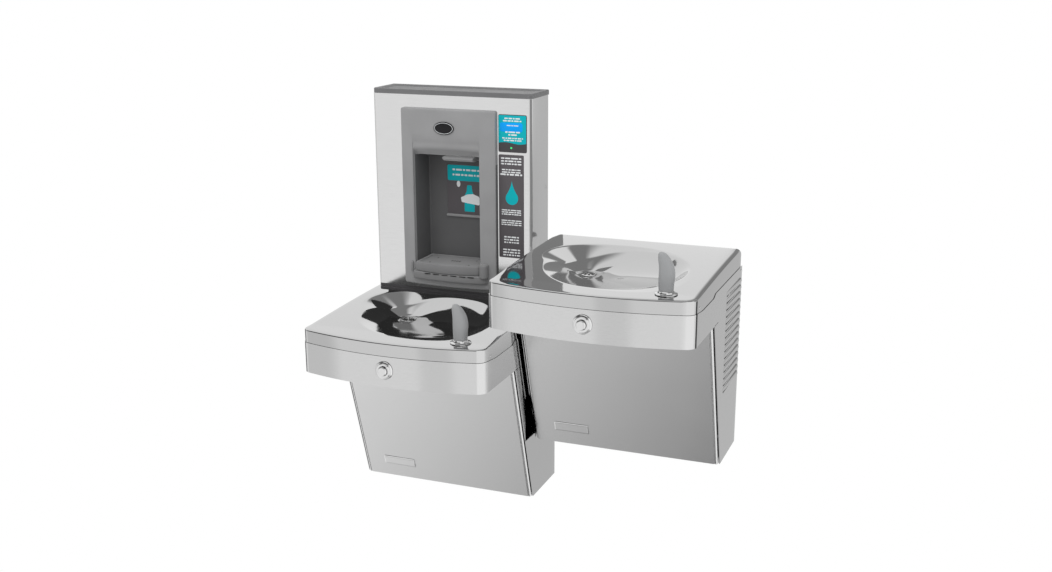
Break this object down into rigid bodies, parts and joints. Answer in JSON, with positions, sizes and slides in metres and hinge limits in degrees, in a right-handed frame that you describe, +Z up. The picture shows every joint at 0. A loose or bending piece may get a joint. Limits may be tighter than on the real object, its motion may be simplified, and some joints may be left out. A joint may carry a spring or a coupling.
{
  "type": "drinking fountain",
  "caption": "Wall-mounted stainless steel drinking fountain with a low and a high bowl, push buttons, and a bottle-filling tower with a drip tray.",
  "frame": {"origin": "on the wall plane, at the middle of the low unit's back frame", "axes": "+X to the right as the user faces the fountain, +Y into the wall, +Z up"},
  "size_m": [0.9504, 0.5087, 1.014],
  "materials": {
    "polished_steel": "mirror polish",
    "cabinet_steel": "fine satin",
    "galvanised_steel": "galvanised",
    "chrome": "bright",
    "fin_metal": "mill",
    "motor_grey": "satin",
    "black_paint": "semi-gloss",
    "copper": "bright",
    "grey_rubber": "soft satin",
    "grey_plastic": "fine texture",
    "dark_plastic": "satin",
    "black_plastic": "gloss",
    "white_plastic": "gloss",
    "white_pipe": "satin",
    "insulation": "foam",
    "teal_label": "printed film",
    "green_light": "lit lens"
  },
  "bodies": {
    "fixture": {"lower_back_frame": "galvanised_steel", "lower_shroud": "cabinet_steel", "lower_front_panel": "cabinet_steel", "lower_soffit": "galvanised_steel", "lower_bottom_cover": "galvanised_steel", "lower_nameplate": "cabinet_steel", "lower_basin": "polished_steel", "lower_drain_strainer": "chrome", "lower_drain_trap": "white_pipe", "lower_bubbler_base": "chrome", "lower_bubbler_guard": "grey_rubber", "lower_button_collar": "chrome", "lower_valve_body": "black_plastic", "lower_bubbler_tube": "white_pipe", "lower_inlet_tube": "copper", "upper_back_frame": "galvanised_steel", "upper_shroud": "cabinet_steel", "upper_front_panel": "cabinet_steel", "upper_soffit": "galvanised_steel", "upper_bottom_cover": "galvanised_steel", "upper_nameplate": "cabinet_steel", "upper_basin": "polished_steel", "upper_drain_strainer": "chrome", "upper_drain_trap": "white_pipe", "upper_bubbler_base": "chrome", "upper_bubbler_guard": "grey_rubber", "upper_button_collar": "chrome", "upper_valve_body": "black_plastic", "upper_bubbler_tube": "white_pipe", "upper_inlet_tube": "copper", "upper_compressor": "black_paint", "upper_condenser": "fin_metal", "upper_fan_shroud": "galvanised_steel", "upper_fan_motor": "motor_grey", "upper_chiller_tank": "insulation", "upper_power_box": "galvanised_steel", "lower_filter_head": "black_plastic", "filler_wall_plate": "galvanised_steel", "filler_body": "cabinet_steel", "filler_cap": "grey_plastic", "filler_base_trim": "dark_plastic", "filler_fascia": "grey_plastic", "filler_nozzle": "grey_plastic", "filler_sensor_panel": "dark_plastic", "filler_display": "teal_label", "filler_label_strip": "dark_plastic", "filler_badge": "black_plastic", "filler_status_light": "green_light", "filler_side_screw": "chrome", "filler_solenoid": "black_plastic", "filler_fill_tube": "white_pipe", "filler_control_board": "black_plastic", "filler_tray_drain": "white_pipe"},
    "low_button": {"lower_button": "chrome"},
    "high_button": {"upper_button": "chrome"},
    "low_lever": {"lower_valve_lever": "galvanised_steel"},
    "high_lever": {"upper_valve_lever": "galvanised_steel"},
    "fan": {"upper_fan_blade": "fin_metal"},
    "tray": {"filler_tray": "grey_plastic"},
    "filter": {"lower_filter_cartridge": "white_plastic"}
  },
  "joints": [
    {"name": "low_button_press", "type": "slide", "parent": "fixture", "child": "low_button", "axis": [0, 1, 0], "range_m": [0, 0.004], "stiffness_N_per_m": 900, "springref_m": -0.004},
    {"name": "high_button_press", "type": "slide", "parent": "fixture", "child": "high_button", "axis": [0, 1, 0], "range_m": [0, 0.004], "stiffness_N_per_m": 900, "springref_m": -0.004},
    {"name": "low_lever_turn", "type": "hinge", "parent": "fixture", "child": "low_lever", "pos_m": [0, -0.4435, 0.163], "axis": [-1, 0, 0], "range_deg": [0, 8.6]},
    {"name": "high_lever_turn", "type": "hinge", "parent": "fixture", "child": "high_lever", "pos_m": [0.478, -0.4435, 0.3245], "axis": [-1, 0, 0], "range_deg": [0, 8.6]},
    {"name": "fan_spin", "type": "hinge", "parent": "fixture", "child": "fan", "pos_m": [0.635, -0.095, 0.2315], "axis": [1, 0, 0], "continuous": true},
    {"name": "tray_lift", "type": "slide", "parent": "fixture", "child": "tray", "axis": [0, 0, 1], "range_m": [0, 0.03]},
    {"name": "filter_turn", "type": "hinge", "parent": "fixture", "child": "filter", "pos_m": [0.11, -0.085, -0.045], "axis": [0, 0, 1], "range_deg": [0, 90]}
  ],
  "couplings": [
    {"joint": "low_lever_turn", "follows": "low_button_press", "rad_per_m": 36.364},
    {"joint": "high_lever_turn", "follows": "high_button_press", "rad_per_m": 36.364}
  ]
}
